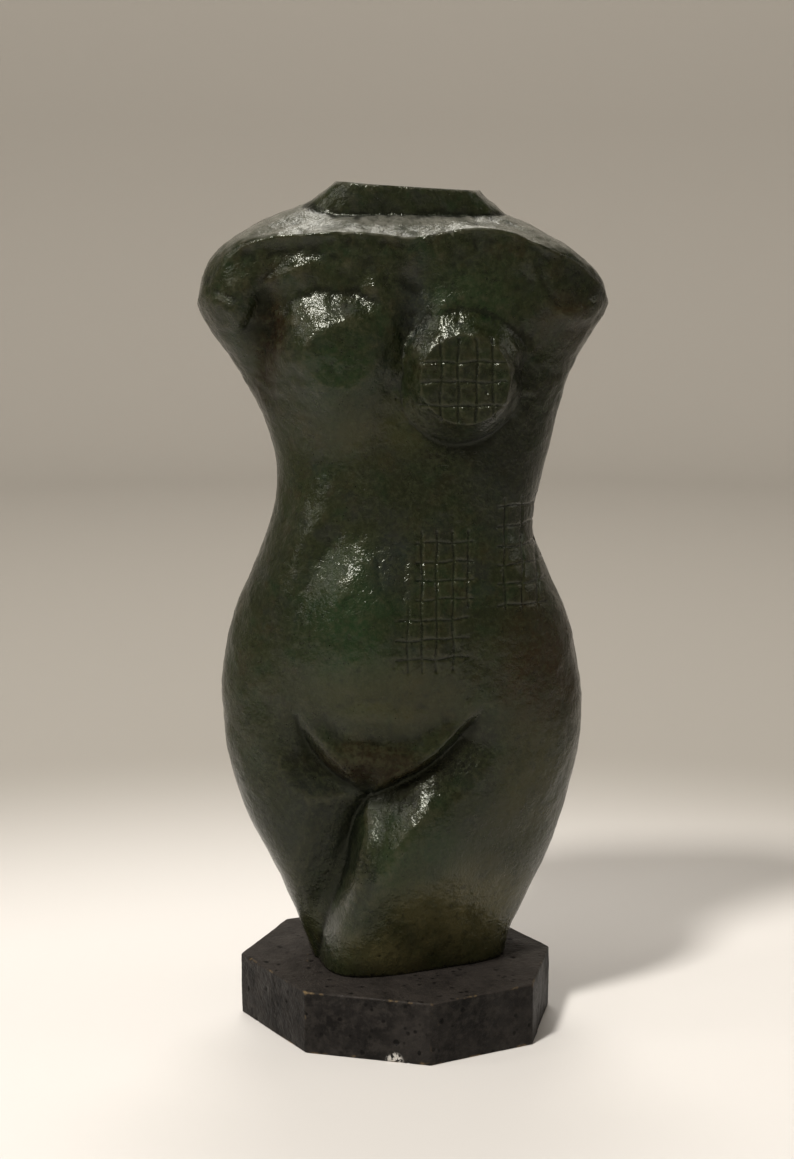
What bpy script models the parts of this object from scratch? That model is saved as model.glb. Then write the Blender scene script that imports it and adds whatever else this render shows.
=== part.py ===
"""A cast bronze torso of Venus, without head, arms or feet, standing on an eight-sided bronze base.

Metres, +Z up, seen from the front along +Y. The origin is the middle of the base's underside.
"""

import math

import bpy
import numpy as np

# Driving sizes, in metres
TORSO_HEIGHT = 0.372
BASE_HEIGHT = 0.030
BASE_RADIUS = 0.0767
BASE_EDGE_BEVEL = 0.0007
SEAT_GAP = 0.0003

# One part in 372 of the torso's height. All the torso's places and depths below are in this unit, which is a
# millimetre at the real size: x to the viewer's right, y away from the viewer, z up from the torso's foot.
UNIT = TORSO_HEIGHT / 372

# The base's corners, going round from the front: turn in degrees, and distance as a share of BASE_RADIUS.
# It was cut by hand, and its eight sides aren't quite alike.
BASE_CORNERS = (
    (9, 1.01), (51, 1.02), (95, 0.94), (143, 0.91), (188, 0.97), (231, 1.01), (273.5, 1.04), (322.5, 0.99),
)

# The torso's sections, from its foot up: height, left edge, right edge, front, back, squareness (2 is an
# ellipse) and turn in degrees about the upright axis.
SECTIONS = (
    (0, -45, 48.5, -30, 34, 2.9, 12),
    (12, -49, 51.5, -32, 35, 2.7, 11),
    (30, -55.3, 60.2, -35, 37, 2.5, 9),
    (50, -64.5, 69.8, -38, 39, 2.4, 6),
    (70, -74.8, 77, -41, 42, 2.3, 4),
    (95, -83.4, 82.6, -45, 46, 2.3, 2),
    (130, -87, 85.2, -49, 49, 2.3, 0),
    (150, -86, 82.5, -50, 47, 2.35, 0),
    (170, -81.5, 78, -49, 42, 2.45, 0),
    (190, -73, 69, -47, 35, 2.5, 0),
    (210, -65, 61.5, -44, 29, 2.45, 0),
    (230, -60.6, 64, -42, 26.5, 2.35, 0),
    (250, -62, 69, -41, 27.5, 2.35, 0),
    (270, -69.7, 73.7, -41, 31, 2.4, 0),
    (290, -80.5, 80.5, -42, 34.5, 2.5, 0),
    (303, -90, 88, -42.5, 36, 2.6, 0),
    (313, -94.5, 94, -43, 36, 2.7, 0),
    (330, -95.5, 95.5, -42, 34, 2.8, 0),
    (372, -95.5, 95.5, -40, 30, 2.9, 0),
)

# The edge where the wall turns over into the tops of the shoulders. It drops towards each side: how far out
# (as the sine of the angle from the front), and how far down. The front one also wavers: across, down, reach.
RIM_HEIGHT_FRONT = 349
RIM_HEIGHT_BACK = 345
RIM_DROP_RIGHT = ((0, 0), (0.47, 0), (0.57, 4.5), (0.66, 8.5), (0.75, 13), (0.85, 20.5), (1, 31))
RIM_DROP_LEFT = ((0, 0), (0.48, 0), (0.6, 2), (0.7, 6), (0.785, 13.5), (0.85, 21), (1, 31))
RIM_WAVES = ((6, 1.8, 15), (-36, 0.8, 9))
# How each shoulder's top climbs from that edge to the neck: 1 is straight, and less is rounder
SHOULDER_CLIMB_LEFT = 0.37
SHOULDER_CLIMB_RIGHT = 0.52

NECK_FOOT = {"height": 356.8, "left": -46, "right": 46.5, "front": -25, "back": 13, "squareness": 4}
NECK_FOOT_LEFT_RISE = 5.5
NECK_TOP = {"height": 369.8, "left": -32, "right": 34.5, "front": -25.5, "back": 9, "squareness": 4}
NECK_TOP_SLANT = 0.066

# Three patches of crossed lines, scored by hand: the lines' places and the patch's reach, across and up
SCORED_PATCHES = (
    {"upright": (16.5, 24.3, 32.6, 39.9), "level": (291.9, 283, 272.3), "across": (7, 46), "up": (265, 303)},
    {"upright": (8.1, 14.9, 22.6, 29.4), "level": (208.7, 200, 191.7, 183.4), "across": (5, 32),
     "up": (179, 214)},
    {"upright": (1.7, 8.1, 14.9, 22.6), "level": (174.2, 165.4, 156.5), "across": (-4, 30), "up": (150, 180)},
    {"upright": (46.6, 55, 62.4), "level": (224, 214.8, 205.5, 197.5, 189, 179), "across": (43, 67),
     "up": (177, 228)},
)
SCORED_DEPTH = 0.7
SCORED_HALF_WIDTH = 0.95
SCORED_WOBBLE = 0.25

# How finely the torso is worked out, and how many triangles are kept of it
COLUMNS = 340
WALL_ROWS = 320
CAP_ROWS = 14
NECK_ROWS = 6
TORSO_TRIANGLES = 9400


def smoothstep(low, high, value):
    """0 below low and 1 above high, with a smooth turn between."""
    t = np.clip((value - low) / (high - low), 0, 1)
    return t * t * (3 - 2 * t)


def smooth_through(knots, values, at):
    """A cubic curve through the values at the knots, read at the given places."""
    knots, values = np.asarray(knots, float), np.asarray(values, float)
    slopes = np.gradient(values, knots)
    at = np.clip(at, knots[0], knots[-1])
    i = np.clip(np.searchsorted(knots, at, side="right") - 1, 0, len(knots) - 2)
    span = knots[i + 1] - knots[i]
    t = (at - knots[i]) / span
    return (
        values[i] * (1 + 2 * t) * (1 - t) ** 2
        + values[i + 1] * t * t * (3 - 2 * t)
        + span * (slopes[i] * t * (1 - t) ** 2 - slopes[i + 1] * t * t * (1 - t))
    )


def soft_max(a, b, width):
    """The larger of two, rounded where they are nearly the same."""
    h = np.clip(0.5 + 0.5 * (a - b) / width, 0, 1)
    return b + (a - b) * h + width * h * (1 - h)


def dome(x, z, centre, radii, height, fall=1.5):
    """A round swelling with a soft foot."""
    apart = ((x - centre[0]) / radii[0]) ** 2 + ((z - centre[1]) / radii[1]) ** 2
    return height * np.clip(1 - apart, 0, 1) ** fall


def along(points, x, z, samples=30):
    """Each (x, z) measured from a smooth path through the points: how far it is from the path, on which side
    it lies (for a path going down, -1 is the viewer's left and 1 the viewer's right), and how far along its
    nearest point is, from 0 to 1."""
    points = np.asarray(points, float)
    knots = np.linspace(0, 1, len(points))
    path = np.stack([smooth_through(knots, points[:, k], np.linspace(0, 1, samples + 1)) for k in (0, 1)], 1)
    best, side, place = np.full(x.shape, 1e9), np.zeros(x.shape), np.zeros(x.shape)
    for i, (start, end) in enumerate(zip(path, path[1:])):
        step = end - start
        t = np.clip(((x - start[0]) * step[0] + (z - start[1]) * step[1]) / (step @ step), 0, 1)
        dx, dz = x - start[0] - t * step[0], z - start[1] - t * step[1]
        apart = np.hypot(dx, dz)
        nearer = apart < best
        best = np.where(nearer, apart, best)
        turn = (dz * step[0] - dx * step[1]) / np.hypot(*step) / np.maximum(apart, 1e-6)
        side = np.where(nearer, turn, side)
        place = np.where(nearer, (i + t) / samples, place)
    return best, side, place


def ridge(x, z, points, height, left_width, right_width, fade_in=0.15, fade_out=0.15):
    """A rounded ridge along a path, or a groove where the height is below 0. It fades towards the path's ends
    over the given shares of its length."""
    low, high = np.min(points, axis=0), np.max(points, axis=0)
    reach = max(left_width, right_width) + 2
    near = (x > low[0] - reach) & (x < high[0] + reach) & (z > low[1] - reach) & (z < high[1] + reach)
    apart, side, place = along(points, x[near], z[near])
    width = left_width + (right_width - left_width) * (0.5 + 0.5 * side)
    cross = 1 - smoothstep(0, 1, apart / width)
    starting = smoothstep(0, fade_in, place) if fade_in else 1
    ending = smoothstep(0, fade_out, 1 - place) if fade_out else 1
    proud = np.zeros(x.shape)
    proud[near] = height * cross * starting * ending
    return proud


def eased(low, high, value):
    """0 below low and 1 above high, nearly straight between, with only a slight turn at each end."""
    t = np.clip((value - low) / (high - low), 0, 1)
    return 0.6 * t + 0.4 * t * t * (3 - 2 * t)


def crease(x, z, points, depth, left_width, right_width, left_turn, right_turn, fade_in=0.0, fade_out=0.0):
    """How deep a sharp-bottomed crease is. Each side has its own width, and its own turn where it meets the
    surface: 1 is a clear edge, and more is softer."""
    apart, side, place = along(points, x, z)
    right = 0.5 + 0.5 * side
    width = left_width + (right_width - left_width) * right
    turn = left_turn + (right_turn - left_turn) * right
    cross = np.clip(1 - apart / width, 0, 1) ** turn
    starting = smoothstep(0, fade_in, place) if fade_in else 1
    ending = smoothstep(0, fade_out, 1 - place) if fade_out else 1
    return depth * cross * starting * ending


def breasts(x, z, chest):
    """The chest's depth with both breasts on it. The viewer's left one is low, with a long slope above and a
    blunt face. The other is a disc that stands out, upright and with a clear round edge, on a short slope."""
    upwards = np.where(z > 289, 34, 48)
    away = (np.abs((x + 32) / 32) ** 2.4 + np.abs((z - 289) / upwards) ** 2.4) ** (1 / 2.4)
    flat_share = 0.45 - 0.35 * smoothstep(295, 275, z)
    low = 12 * (1 - eased(flat_share, 1, away)) ** (1 + 0.6 * smoothstep(290, 262, z))
    chest = np.where(low > 0, soft_max(chest - low, -51 + 0.05 * (x + 32), 2), chest)
    from_edge = np.hypot(x - 27.5, z - 284) - 20.2
    above, below = smoothstep(0, 14, z - 284), smoothstep(-8, 20, 284 - z)
    skirt = 7.5 + 3.5 * above + 4 * below - 3 * smoothstep(-14, 18, x - 27.5) * (1 - above)
    face = -51.5 + 0.03 * (z - 284)
    share = np.clip(1 - from_edge / skirt, 0, 1) ** (1.1 - 0.05 * below)
    return chest + (np.minimum(face, chest) - chest) * share


def navel(x, z):
    """A shallow hollow with a flat floor and gentle sides. It widens upwards and fades out above."""
    middle = -6 + 6.5 * smoothstep(196, 168, z)
    half_width = 1 + 8.5 * smoothstep(167, 195, z)
    inside = half_width - np.abs(x - middle)
    return 0.75 * smoothstep(-0.5, 4, inside) * smoothstep(212, 195, z) * smoothstep(163, 175, z)


def thigh(x, z):
    """The nearer thigh, a swelling that crosses the front slantwise. It is thickest half way down and falls off
    gently to its outer side and steeply to its inner side."""
    apart, side, place = along([(44, 138), (30, 116), (17, 93), (2, 68), (-13, 40), (-26, 0)], x, z)
    thickness = smooth_through([0, 0.12, 0.25, 0.4, 0.58, 0.72, 0.86, 1], [0, 0, 2, 8, 16, 18, 14.5, 9], place)
    width = 25 + 33 * (0.5 + 0.5 * side)
    return thickness * (1 - smoothstep(0, 1, apart / width))


def folds(x, z):
    """The depth of the three creases that meet below the belly. The belly and the swelling below it end in a
    clear edge over the groin's creases, and the thighs rise softly out of them."""
    right_path = [(42, 140), (32, 123), (22, 112), (11, 103), (-2, 95), (-16, 88)]
    left_path = [(-50, 142), (-50, 124), (-43, 109), (-32, 98), (-16, 88)]
    right = crease(x, z, right_path, 9, 5, 21, 0.95, 1.15, fade_in=0.35)
    left = crease(x, z, left_path, 8, 18, 9, 1.0, 1.3, fade_in=0.5)
    between = crease(x, z, [(-16, 88), (-24, 74), (-29, 50), (-36, 26), (-42, 0)], 9.5, 23, 9, 1.15, 1.7)
    return soft_max(soft_max(right, left, 1.5), between, 1.5)


def front_forms(x, z):
    """How far the front stands proud of its plain sections."""
    # Belly, its lower fold, a small ledge under that and the swelling below it
    proud = dome(x, z, (-14, 164), (54, 51), 9.5, fall=2)
    proud += dome(x, z, (-10, 112), (36, 26), 5, fall=1.3)
    lower_fold = [(-47, 136), (-38, 124), (-20, 118), (0, 118), (18, 124), (36, 138)]
    proud += ridge(x, z, lower_fold, -2, 11, 11, 0.3, 0.3)
    proud += ridge(x, z, [(-28, 112), (-16, 113.5), (-4, 112)], 0.45, 2.5, 2.5, 0.3, 0.3)
    proud -= navel(x, z)
    # Breastbone: a blunt ridge from the low breast to a hollow, and a soft line down to the navel
    proud += ridge(x, z, [(-16, 334), (-12, 322), (-6, 310), (-3, 298)], 2.2, 9, 7, 0.35, 0.4)
    proud += ridge(x, z, [(4, 340), (5, 324), (4, 308), (3, 292)], -4.5, 11, 14, 0.4, 0.45)
    proud += ridge(x, z, [(-3, 292), (0, 268), (-2, 240), (-5, 214)], -1.3, 18, 17, 0.35, 0.4)
    # The nearer thigh, the creases, and a thin ridge inside the thigh
    proud += thigh(x, z) - folds(x, z)
    proud += ridge(x, z, [(-11, 88), (-17, 72), (-22, 52), (-31, 28)], 3, 6, 8, 0.3, 0.3)
    # Two steps from the belly down to the hip, and the hip's own soft edge on the other side
    proud += ridge(x, z, [(-36, 242), (-43, 220), (-55, 194), (-68, 162)], 3.4, 13, 13, 0.5, 0.4)
    proud += ridge(x, z, [(-29, 220), (-38, 198), (-50, 172)], -1, 8, 8, 0.45, 0.4)
    proud += ridge(x, z, [(-14, 212), (-25, 195), (-40, 176)], 1, 8, 9, 0.45, 0.35)
    proud += ridge(x, z, [(38, 216), (52, 196), (62, 172)], 2, 14, 14, 0.35, 0.35)
    # Full chest above the standing disc
    proud += dome(x, z, (28, 304), (32, 30), 3.2)
    # Fold of the chest muscle that runs to the arm, with a shallow hollow above it
    proud += ridge(x, z, [(-66, 322), (-58, 329), (-47, 334), (-30, 338)], 2, 12, 4, 0.3, 0.4)
    proud += ridge(x, z, [(-66, 338), (-48, 342), (-24, 343)], -1.6, 7, 7, 0.3, 0.5)
    # Front of each arm's stump, the hollow that parts it from the chest, and its lower edge
    proud += dome(x, z, (-82, 324), (19, 26), 4.2, fall=2)
    proud += ridge(x, z, [(-56, 336), (-62, 322), (-66, 304), (-68, 288), (-70, 262)], -5, 11, 16, 0.35, 0.5)
    proud += ridge(x, z, [(56, 340), (58, 316), (60, 290), (62, 262)], -2.5, 14, 18, 0.3, 0.5)
    proud += ridge(x, z, [(-97, 317), (-86, 317), (-78, 312), (-72, 304)], 2.6, 8, 7, 0.1, 0.4)
    proud += ridge(x, z, [(97, 316), (80, 313), (64, 311)], 1.6, 7, 8, 0.1, 0.4)
    proud += ridge(x, z, [(60, 342), (63, 328), (69, 318), (80, 312)], -0.8, 3.5, 6, 0.3, 0.4)
    return proud


def back_forms(x, z):
    """How far the back stands proud of its plain sections."""
    proud = dome(x, z, (-37, 118), (44, 46), 11) + dome(x, z, (38, 112), (43, 45), 10)
    proud += dome(x, z, (-40, 300), (34, 40), 4) + dome(x, z, (40, 300), (34, 40), 4)
    proud += ridge(x, z, [(0, 345), (1, 300), (-1, 250), (0, 200), (1, 165)], -4.5, 13, 13, 0.2, 0.3)
    proud += ridge(x, z, [(1, 160), (1, 130), (0, 100), (-2, 60), (-6, 0)], -8, 10, 10, 0.2, 0.4)
    proud += ridge(x, z, [(70, 84), (45, 76), (20, 78), (2, 88)], -3, 9, 9)
    proud += ridge(x, z, [(-2, 90), (-22, 82), (-48, 82), (-72, 92)], -3, 9, 9)
    return proud


def section_points(around, z, edges):
    """(x, y) round a section at each angle: 0 is the front, a quarter turn the viewer's right."""
    left, right, front, back, squareness, turn = edges
    across, ahead = np.sin(around), np.cos(around)
    reach = (np.abs(across) ** squareness + np.abs(ahead) ** squareness) ** (-1 / squareness)
    x = (left + right) / 2 + (right - left) / 2 * reach * across
    y = np.where(ahead > 0, -front, back) * reach * -ahead
    turned = np.radians(turn)
    return x * np.cos(turned) - y * np.sin(turned), x * np.sin(turned) + y * np.cos(turned)


def wall_points(around, z):
    """Points of the torso's wall at each angle and height, with its forms."""
    heights = [row[0] for row in SECTIONS]
    edges = [smooth_through(heights, [row[k] for row in SECTIONS], z) for k in range(1, 7)]
    x, y = section_points(around, z, edges)
    facing = smoothstep(0.02, 0.42, np.cos(around))
    front = -y + front_forms(x, z)
    with_breasts = -breasts(x, z, -front)
    y = y * (1 - facing) - with_breasts * facing
    y += back_forms(x, z) * smoothstep(0.05, 0.5, -np.cos(around))
    return x, y


def rim_height(around):
    """The edge where the wall turns over into the tops of the shoulders."""
    out, front = np.sin(around), np.cos(around) > 0
    right = smooth_through(*zip(*RIM_DROP_RIGHT), np.abs(out))
    left = smooth_through(*zip(*RIM_DROP_LEFT), np.abs(out))
    drop = np.where((out < 0) & front, left, right)
    to_side = smoothstep(0.5, 1, np.abs(out))
    middle = (RIM_HEIGHT_FRONT + RIM_HEIGHT_BACK) / 2
    level = np.where(front, RIM_HEIGHT_FRONT, RIM_HEIGHT_BACK)
    level = level + (middle - level) * to_side - drop
    for x, down, reach in RIM_WAVES:
        level = level - front * down * np.exp(-(((90 * out - x) / reach) ** 2))
    return level


def ring(around, shape):
    """A level ring of the neck."""
    edges = [shape["left"], shape["right"], shape["front"], shape["back"], shape["squareness"], 0]
    return section_points(around, shape["height"], edges)


def torso_points(around, row):
    """One point for each angle on a row. Rows 0 to 1 climb the wall, 1 to 2 cross the tops of the shoulders and
    2 to 3 climb the neck."""
    rim = rim_height(around)
    if row <= 1:
        level = row * RIM_HEIGHT_FRONT
        z = level + (rim - RIM_HEIGHT_FRONT) * smoothstep(0.55, 1, row)
        return *wall_points(around, z), z
    foot_x, foot_y = ring(around, NECK_FOOT)
    foot_z = NECK_FOOT["height"] + NECK_FOOT_LEFT_RISE * smoothstep(0.5, 1, -np.sin(around))
    if row <= 2:
        t = (row - 1) ** 1.6
        x, y = wall_points(around, rim)
        climb = np.where(np.sin(around) < 0, SHOULDER_CLIMB_LEFT, SHOULDER_CLIMB_RIGHT)
        climb = 1 + (climb - 1) * smoothstep(0.35, 0.95, np.abs(np.sin(around)))
        z = rim + (foot_z - rim) * t**climb
        return x + (foot_x - x) * t, y + (foot_y - y) * t, z
    top_x, top_y = ring(around, NECK_TOP)
    top_z = NECK_TOP["height"] - NECK_TOP_SLANT * top_x
    t = row - 2
    return foot_x + (top_x - foot_x) * t, foot_y + (top_y - foot_y) * t, foot_z + (top_z - foot_z) * t


def scored_lines(x, z):
    """How deep the scored lines are cut at each (x, z). Each is a groove with sloping sides that wavers."""
    depth = np.zeros(x.shape)
    waver = SCORED_WOBBLE * np.sin(x * 0.23 + z * 0.31) + SCORED_WOBBLE * np.sin(z * 0.17 - x * 0.41)
    for patch in SCORED_PATCHES:
        (left, right), (low, high) = patch["across"], patch["up"]
        across = smoothstep(left - 0.8, left + 0.8, x) * smoothstep(right + 0.8, right - 0.8, x)
        up = smoothstep(low - 0.8, low + 0.8, z) * smoothstep(high + 0.8, high - 0.8, z)
        for place in patch["upright"]:
            groove = np.clip(1 - np.abs(x + waver - place) / SCORED_HALF_WIDTH, 0, 1)
            depth = np.maximum(depth, SCORED_DEPTH * groove * across * up)
        for place in patch["level"]:
            groove = np.clip(1 - np.abs(z + waver - place) / SCORED_HALF_WIDTH, 0, 1)
            depth = np.maximum(depth, SCORED_DEPTH * groove * across * up)
    return depth


def graded(count, closeness, low, high, ends):
    """Places from low to high, spaced more closely where closeness(place) is larger."""
    fine = np.linspace(low, high, 2000)
    travelled = np.concatenate([[0], np.cumsum(closeness(fine))[:-1]])
    return np.interp(np.linspace(0, travelled[-1], count, endpoint=ends), travelled, fine)


def hump(place, low, high, soft):
    """1 between low and high and 0 outside them, with soft sides."""
    return smoothstep(low - soft, low, place) * smoothstep(high + soft, high, place)


def column_angles():
    """Angles round the torso, close together on the front and closest at the scored patches."""
    def closeness(angle):
        return 0.6 + 0.7 * (np.cos(angle) > -0.1) + 3.2 * hump(angle, -0.1, 1.35, 0.1)

    return graded(COLUMNS, closeness, -math.pi, math.pi, ends=False)


def row_steps():
    """Rows up the torso, closest together at the scored patches."""
    def closeness(row):
        z = row * RIM_HEIGHT_FRONT
        return 1 + 2.6 * hump(z, 148, 228, 4) + 2.6 * hump(z, 262, 304, 4)

    wall = graded(WALL_ROWS + 1, closeness, 0, 1, ends=True)
    cap = np.linspace(1, 2, CAP_ROWS + 1)[1:]
    neck = np.linspace(2, 3, NECK_ROWS + 1)[1:]
    return np.concatenate([wall, cap, neck])


def torso_grid():
    """The torso's points, a row of them for each step up it, with the scored lines cut square to the surface."""
    around = column_angles()
    grid = np.stack([np.stack(torso_points(around, row), 1) for row in row_steps()])
    onwards = np.roll(grid, -1, axis=1) - np.roll(grid, 1, axis=1)
    upwards = np.gradient(grid, axis=0)
    outwards = np.cross(onwards, upwards)
    outwards /= np.maximum(np.linalg.norm(outwards, axis=2, keepdims=True), 1e-9)
    depth = scored_lines(grid[:, :, 0], grid[:, :, 2]) * (np.cos(around) > 0)
    return grid - outwards * depth[:, :, None]


def bronze(name, colour, roughness):
    material = bpy.data.materials.new(name)
    material.use_nodes = True
    shader = material.node_tree.nodes["Principled BSDF"]
    shader.inputs["Base Color"].default_value = (*colour, 1)
    shader.inputs["Metallic"].default_value = 0.6
    shader.inputs["Roughness"].default_value = roughness
    return material


def add_torso(collection):
    grid = torso_grid()
    rows, columns = grid.shape[:2]
    points = grid.reshape(-1, 3) * UNIT
    points[:, 2] += BASE_HEIGHT + SEAT_GAP
    faces = [tuple(reversed(range(columns)))]
    for low in range(0, (rows - 1) * columns, columns):
        for k in range(columns):
            after = (k + 1) % columns
            faces.append((low + k, low + after, low + columns + after, low + columns + k))
    faces.append(tuple(range((rows - 1) * columns, rows * columns)))
    mesh = bpy.data.meshes.new("torso")
    mesh.from_pydata(points.tolist(), [], faces)
    mesh.shade_smooth()
    mesh.set_sharp_from_angle(angle=math.radians(35))
    torso = bpy.data.objects.new("torso", mesh)
    torso.data.materials.append(bronze("green_patina", (0.030, 0.042, 0.026), 0.38))
    collection.objects.link(torso)
    all_triangles = sum(len(face.vertices) - 2 for face in mesh.polygons)
    thinned = torso.modifiers.new("keep the forms with fewer triangles", "DECIMATE")
    thinned.ratio = TORSO_TRIANGLES / all_triangles


def add_base(collection):
    outline = bpy.data.curves.new("base_outline", "CURVE")
    outline.dimensions = "2D"
    outline.fill_mode = "BOTH"
    outline.extrude = BASE_HEIGHT / 2
    spline = outline.splines.new("POLY")
    spline.points.add(len(BASE_CORNERS) - 1)
    spline.use_cyclic_u = True
    for point, (turn, reach) in zip(spline.points, BASE_CORNERS):
        angle = math.radians(turn)
        point.co = (BASE_RADIUS * reach * math.sin(angle), -BASE_RADIUS * reach * math.cos(angle), 0, 1)
    base = bpy.data.objects.new("base", outline)
    base.location.z = BASE_HEIGHT / 2
    base.data.materials.append(bronze("dark_bronze", (0.028, 0.025, 0.023), 0.55))
    collection.objects.link(base)
    weld = base.modifiers.new("weld caps", "WELD")
    weld.merge_threshold = 0.00001
    bevel = base.modifiers.new("worn edges", "BEVEL")
    bevel.width = BASE_EDGE_BEVEL
    bevel.segments = 2


def main():
    for old in list(bpy.data.objects):
        bpy.data.objects.remove(old)
    collection = bpy.data.collections.new("bronze_venus_torso")
    bpy.context.scene.collection.children.link(collection)
    add_base(collection)
    add_torso(collection)


main()
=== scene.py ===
"""A cast bronze torso of Venus on its eight-sided base, with the studio and the camera that show it.

Metres, +Z up, seen from the front along +Y. Both pieces are made again here from the same rules as their
solids, much more finely, with the marks that casting, scoring and handling left on them.
"""

import math

import bpy
import numpy as np
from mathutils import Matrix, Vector


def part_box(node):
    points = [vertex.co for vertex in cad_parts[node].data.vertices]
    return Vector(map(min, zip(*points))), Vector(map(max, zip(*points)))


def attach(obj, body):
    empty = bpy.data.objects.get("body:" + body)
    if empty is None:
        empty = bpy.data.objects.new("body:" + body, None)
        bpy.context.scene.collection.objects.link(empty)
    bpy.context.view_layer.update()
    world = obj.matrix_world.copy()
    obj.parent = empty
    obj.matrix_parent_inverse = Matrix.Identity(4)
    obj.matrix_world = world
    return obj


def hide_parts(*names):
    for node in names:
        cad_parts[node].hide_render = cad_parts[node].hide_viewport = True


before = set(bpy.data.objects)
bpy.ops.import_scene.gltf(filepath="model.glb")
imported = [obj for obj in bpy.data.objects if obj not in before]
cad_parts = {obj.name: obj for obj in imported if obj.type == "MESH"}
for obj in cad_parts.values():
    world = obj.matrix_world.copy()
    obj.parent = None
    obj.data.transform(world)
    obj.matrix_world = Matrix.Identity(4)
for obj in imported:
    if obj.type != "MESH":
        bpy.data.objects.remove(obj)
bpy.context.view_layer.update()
BODY = "root"

# Where the solids stand
BASE_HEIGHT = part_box("base")[1].z
TORSO_LOW, TORSO_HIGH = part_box("torso")
BASE_RADIUS = 0.0767

# The torso's own places and depths are in a unit that is a millimetre at the real size: x to the viewer's
# right, y away from the viewer, z up from the torso's foot. The torso is this many of them tall.
TORSO_UNITS = 371.9
UNIT = (TORSO_HIGH.z - TORSO_LOW.z) / TORSO_UNITS

# The base's corners, going round from the front: turn in degrees, and distance as a share of BASE_RADIUS.
# It was cut by hand, and its eight sides aren't quite alike.
BASE_CORNERS = (
    (9, 1.01), (51, 1.02), (95, 0.94), (143, 0.91), (188, 0.97), (231, 1.01), (273.5, 1.04), (322.5, 0.99),
)

# The torso's sections, from its foot up: height, left edge, right edge, front, back, squareness (2 is an
# ellipse) and turn in degrees about the upright axis.
SECTIONS = (
    (0, -45, 48.5, -30, 34, 2.9, 12),
    (12, -49, 51.5, -32, 35, 2.7, 11),
    (30, -55.3, 60.2, -35, 37, 2.5, 9),
    (50, -64.5, 69.8, -38, 39, 2.4, 6),
    (70, -74.8, 77, -41, 42, 2.3, 4),
    (95, -83.4, 82.6, -45, 46, 2.3, 2),
    (130, -87, 85.2, -49, 49, 2.3, 0),
    (150, -86, 82.5, -50, 47, 2.35, 0),
    (170, -81.5, 78, -49, 42, 2.45, 0),
    (190, -73, 69, -47, 35, 2.5, 0),
    (210, -65, 61.5, -44, 29, 2.45, 0),
    (230, -60.6, 64, -42, 26.5, 2.35, 0),
    (250, -62, 69, -41, 27.5, 2.35, 0),
    (270, -69.7, 73.7, -41, 31, 2.4, 0),
    (290, -80.5, 80.5, -42, 34.5, 2.5, 0),
    (303, -90, 88, -42.5, 36, 2.6, 0),
    (313, -94.5, 94, -43, 36, 2.7, 0),
    (330, -95.5, 95.5, -42, 34, 2.8, 0),
    (372, -95.5, 95.5, -40, 30, 2.9, 0),
)

# The edge where the wall turns over into the tops of the shoulders. It drops towards each side: how far out
# (as the sine of the angle from the front), and how far down. The front one also wavers: across, down, reach.
RIM_HEIGHT_FRONT = 349
RIM_HEIGHT_BACK = 345
RIM_DROP_RIGHT = ((0, 0), (0.47, 0), (0.57, 4.5), (0.66, 8.5), (0.75, 13), (0.85, 20.5), (1, 31))
RIM_DROP_LEFT = ((0, 0), (0.48, 0), (0.6, 2), (0.7, 6), (0.785, 13.5), (0.85, 21), (1, 31))
RIM_WAVES = ((6, 1.8, 15), (-36, 0.8, 9))
# How each shoulder's top climbs from that edge to the neck: 1 is straight, and less is rounder
SHOULDER_CLIMB_LEFT = 0.37
SHOULDER_CLIMB_RIGHT = 0.52

NECK_FOOT = {"height": 356.8, "left": -46, "right": 46.5, "front": -25, "back": 13, "squareness": 4}
NECK_FOOT_LEFT_RISE = 5.5
NECK_TOP = {"height": 369.8, "left": -32, "right": 34.5, "front": -25.5, "back": 9, "squareness": 4}
NECK_TOP_SLANT = 0.066

# Three patches of crossed lines, scored by hand: the lines' places and the patch's reach, across and up
SCORED_PATCHES = (
    {"upright": (16.5, 24.3, 32.6, 39.9), "level": (291.9, 283, 272.3), "across": (7, 46), "up": (265, 303)},
    {"upright": (8.1, 14.9, 22.6, 29.4), "level": (208.7, 200, 191.7, 183.4), "across": (5, 32),
     "up": (179, 214)},
    {"upright": (1.7, 8.1, 14.9, 22.6), "level": (174.2, 165.4, 156.5), "across": (-4, 30), "up": (150, 180)},
    {"upright": (46.6, 55, 62.4), "level": (224, 214.8, 205.5, 197.5, 189, 179), "across": (43, 67),
     "up": (177, 228)},
)
SCORED_DEPTH = 0.7
SCORED_HALF_WIDTH = 0.95
SCORED_WOBBLE = 0.25


def smoothstep(low, high, value):
    """0 below low and 1 above high, with a smooth turn between."""
    t = np.clip((value - low) / (high - low), 0, 1)
    return t * t * (3 - 2 * t)


def smooth_through(knots, values, at):
    """A cubic curve through the values at the knots, read at the given places."""
    knots, values = np.asarray(knots, float), np.asarray(values, float)
    slopes = np.gradient(values, knots)
    at = np.clip(at, knots[0], knots[-1])
    i = np.clip(np.searchsorted(knots, at, side="right") - 1, 0, len(knots) - 2)
    span = knots[i + 1] - knots[i]
    t = (at - knots[i]) / span
    return (
        values[i] * (1 + 2 * t) * (1 - t) ** 2
        + values[i + 1] * t * t * (3 - 2 * t)
        + span * (slopes[i] * t * (1 - t) ** 2 - slopes[i + 1] * t * t * (1 - t))
    )


def soft_max(a, b, width):
    """The larger of two, rounded where they are nearly the same."""
    h = np.clip(0.5 + 0.5 * (a - b) / width, 0, 1)
    return b + (a - b) * h + width * h * (1 - h)


def dome(x, z, centre, radii, height, fall=1.5):
    """A round swelling with a soft foot."""
    apart = ((x - centre[0]) / radii[0]) ** 2 + ((z - centre[1]) / radii[1]) ** 2
    return height * np.clip(1 - apart, 0, 1) ** fall


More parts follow.
